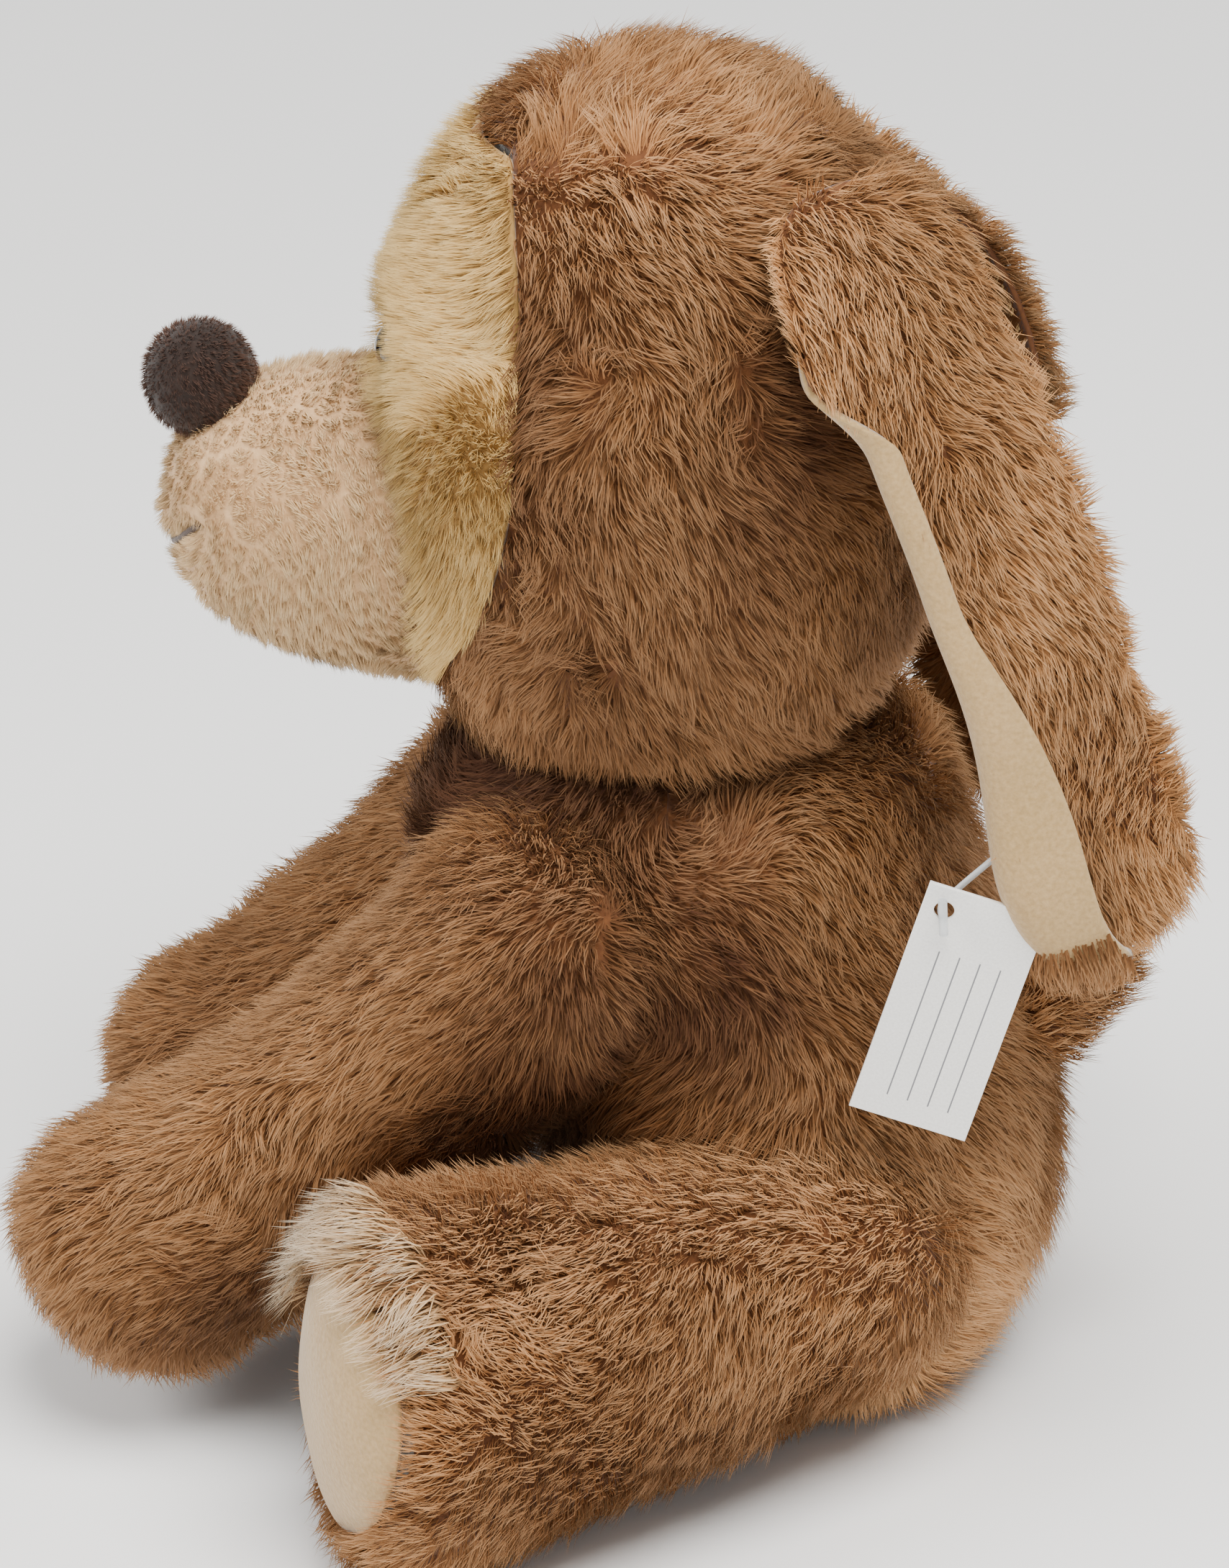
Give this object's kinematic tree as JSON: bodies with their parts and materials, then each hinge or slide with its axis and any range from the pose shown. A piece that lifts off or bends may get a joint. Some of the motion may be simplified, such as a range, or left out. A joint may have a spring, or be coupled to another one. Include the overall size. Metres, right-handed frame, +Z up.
{
  "type": "plush dog",
  "caption": "Sitting plush dog with long hanging ears, shaggy brown pile, golden face, cream muzzle and soles, and a blank hang tag; head, ears, legs and tail move.",
  "frame": {"origin": "middle of the part's base, on the surface it sits on", "axes": "+Z up from the seat to the crown, -Y the way the dog faces, +X its left side"},
  "size_m": [0.2002, 0.1949, 0.2275],
  "materials": {
    "brown_pile": "shaggy pile",
    "golden_pile": "short pile",
    "cream_pile": "short pile",
    "cream_plush": "smooth plush",
    "nose_plush": "very short plush",
    "thread": "twisted thread",
    "eye_plastic": "polished",
    "washer_plastic": "plain",
    "fibre_fill": "loose polyester fibre",
    "pouch_cloth": "plain woven",
    "pin_plastic": "clear filament",
    "paper_card": "blank matt paper"
  },
  "bodies": {
    "torso": {"torso_back_cover": "brown_pile", "belly_cover": "brown_pile", "torso_stuffing": "fibre_fill", "bean_pouch": "pouch_cloth"},
    "neck": {"neck_stuffing": "fibre_fill"},
    "head": {"head_cover": "brown_pile", "face_panel_left": "golden_pile", "face_panel_right": "golden_pile", "muzzle_cover": "cream_pile", "nose_cover": "nose_plush", "nose_stuffing": "fibre_fill", "mouth_stitch": "thread", "eye_left": "eye_plastic", "eye_right": "eye_plastic", "eye_washer_left": "washer_plastic", "eye_washer_right": "washer_plastic", "head_stuffing": "fibre_fill"},
    "left_ear": {"ear_cover_left": "brown_pile", "ear_lining_left": "cream_plush", "tag_pin": "pin_plastic"},
    "right_ear": {"ear_cover_right": "brown_pile", "ear_lining_right": "cream_plush"},
    "left_foreleg": {"foreleg_cover_left": "brown_pile", "foreleg_stuffing_left": "fibre_fill"},
    "right_foreleg": {"foreleg_cover_right": "brown_pile", "foreleg_stuffing_right": "fibre_fill"},
    "left_leg": {"leg_cover_left": "brown_pile", "sole_pad_left": "cream_plush", "leg_stuffing_left": "fibre_fill"},
    "right_leg": {"leg_cover_right": "brown_pile", "sole_pad_right": "cream_plush", "leg_stuffing_right": "fibre_fill"},
    "tail": {"tail_cover": "brown_pile", "tail_stuffing": "fibre_fill"},
    "tag": {"tag_card": "paper_card"}
  },
  "joints": [
    {"name": "neck_turn", "type": "hinge", "parent": "torso", "child": "neck", "pos_m": [0, 0.011, 0.158], "axis": [0, 0, 1], "range_deg": [-20, 20]},
    {"name": "neck_nod", "type": "hinge", "parent": "neck", "child": "head", "pos_m": [0, 0.011, 0.158], "axis": [1, 0, 0], "range_deg": [-5, 12]},
    {"name": "ear_flap_left", "type": "hinge", "parent": "head", "child": "left_ear", "pos_m": [0.024, 0.048, 0.203], "axis": [0.5736, -0.8192, 0], "range_deg": [0, 60]},
    {"name": "ear_flap_right", "type": "hinge", "parent": "head", "child": "right_ear", "pos_m": [-0.024, 0.048, 0.203], "axis": [0.5736, 0.8192, 0], "range_deg": [0, 60]},
    {"name": "shoulder_left", "type": "hinge", "parent": "torso", "child": "left_foreleg", "pos_m": [0.031, -0.01, 0.086], "axis": [-1, 0, 0], "range_deg": [0, 25]},
    {"name": "shoulder_right", "type": "hinge", "parent": "torso", "child": "right_foreleg", "pos_m": [-0.031, -0.01, 0.086], "axis": [-1, 0, 0], "range_deg": [0, 25]},
    {"name": "hip_left", "type": "hinge", "parent": "torso", "child": "left_leg", "pos_m": [0.036, 0.034, 0.035], "axis": [0, 0, 1], "range_deg": [0, 20]},
    {"name": "hip_right", "type": "hinge", "parent": "torso", "child": "right_leg", "pos_m": [-0.036, 0.034, 0.035], "axis": [0, 0, -1], "range_deg": [0, 20]},
    {"name": "tail_wag", "type": "hinge", "parent": "torso", "child": "tail", "pos_m": [0, 0.0695, 0.06], "axis": [0, 0, 1], "range_deg": [-20, 20]},
    {"name": "tag_swing", "type": "hinge", "parent": "left_ear", "child": "tag", "pos_m": [0.05, 0.0587, 0.1058], "axis": [1, 0, 0], "range_deg": [-20, 30]}
  ]
}
